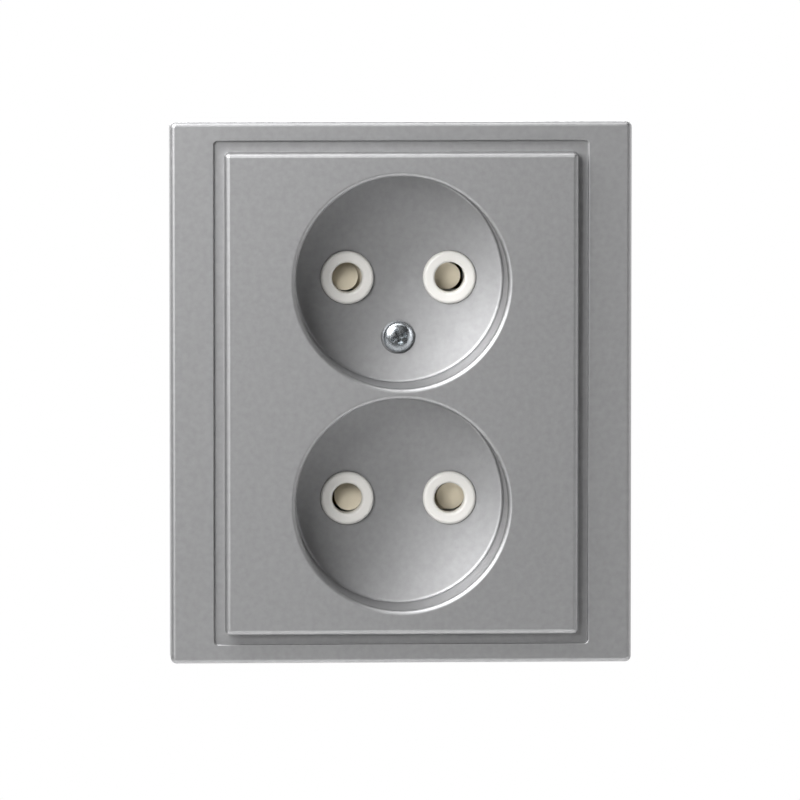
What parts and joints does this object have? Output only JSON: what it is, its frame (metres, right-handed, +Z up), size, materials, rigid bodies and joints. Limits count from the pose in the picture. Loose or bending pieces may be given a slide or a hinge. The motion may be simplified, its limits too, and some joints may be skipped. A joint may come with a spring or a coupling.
{
  "type": "double wall socket",
  "caption": "Flush wall socket with round recessed plug wells one above the other in a raised plate, a rectangular frame, and rotary safety shutters behind the pin entries.",
  "frame": {"origin": "middle of the wall plane behind the frame", "axes": "the socket faces -Y, +Y runs into the wall, +Z up the wall, +X to the right seen from the room"},
  "size_m": [0.085, 0.0391, 0.1],
  "materials": {
    "silver_paint": "satin silver paint on moulded plastic",
    "white_plastic": "smooth moulded",
    "beige_plastic": "smooth moulded",
    "zinc_steel": "zinc plated",
    "spring_steel": "rolled strip",
    "housing_plastic": "moulded with a fine grain",
    "brass_strip": "rolled strip",
    "lever_plastic": "smooth moulded",
    "plated_steel": "galvanised sheet"
  },
  "bodies": {
    "housing": {"cover_frame": "silver_paint", "socket_cover": "silver_paint", "cover_screw": "zinc_steel", "cover_screw_nut": "zinc_steel", "upper_pin_guide": "white_plastic", "lower_pin_guide": "white_plastic", "upper_shutter_spring": "spring_steel", "lower_shutter_spring": "spring_steel", "contact_cover": "housing_plastic", "socket_base": "housing_plastic", "neutral_rail": "brass_strip", "line_rail": "brass_strip", "neutral_upper_clamp": "spring_steel", "neutral_lower_clamp": "spring_steel", "line_upper_clamp": "spring_steel", "line_lower_clamp": "spring_steel", "support_strap": "plated_steel"},
    "upper_shutter_body": {"upper_shutter": "beige_plastic"},
    "lower_shutter_body": {"lower_shutter": "beige_plastic"},
    "neutral_lever_body": {"neutral_release_lever": "lever_plastic"},
    "line_lever_body": {"line_release_lever": "lever_plastic"}
  },
  "joints": [
    {"name": "upper_shutter_turn", "type": "hinge", "parent": "housing", "child": "upper_shutter_body", "pos_m": [0, 0.0104, 0.0205], "axis": [0, -1, 0], "range_deg": [0, 35.8], "stiffness_Nm_per_rad": 0.006, "springref_deg": -20.05, "deforming": ["upper_shutter_spring"]},
    {"name": "lower_shutter_turn", "type": "hinge", "parent": "housing", "child": "lower_shutter_body", "pos_m": [0, 0.0104, -0.0205], "axis": [0, -1, 0], "range_deg": [0, 35.8], "stiffness_Nm_per_rad": 0.006, "springref_deg": -20.05, "deforming": ["lower_shutter_spring"]},
    {"name": "neutral_lever_press", "type": "slide", "parent": "housing", "child": "neutral_lever_body", "axis": [0, -1, 0], "range_m": [0, 0.0013], "stiffness_N_per_m": 2000, "springref_m": -0.0005, "deforming": ["neutral_upper_clamp", "neutral_lower_clamp"]},
    {"name": "line_lever_press", "type": "slide", "parent": "housing", "child": "line_lever_body", "axis": [0, -1, 0], "range_m": [0, 0.0013], "stiffness_N_per_m": 2000, "springref_m": -0.0005, "deforming": ["line_upper_clamp", "line_lower_clamp"]}
  ]
}
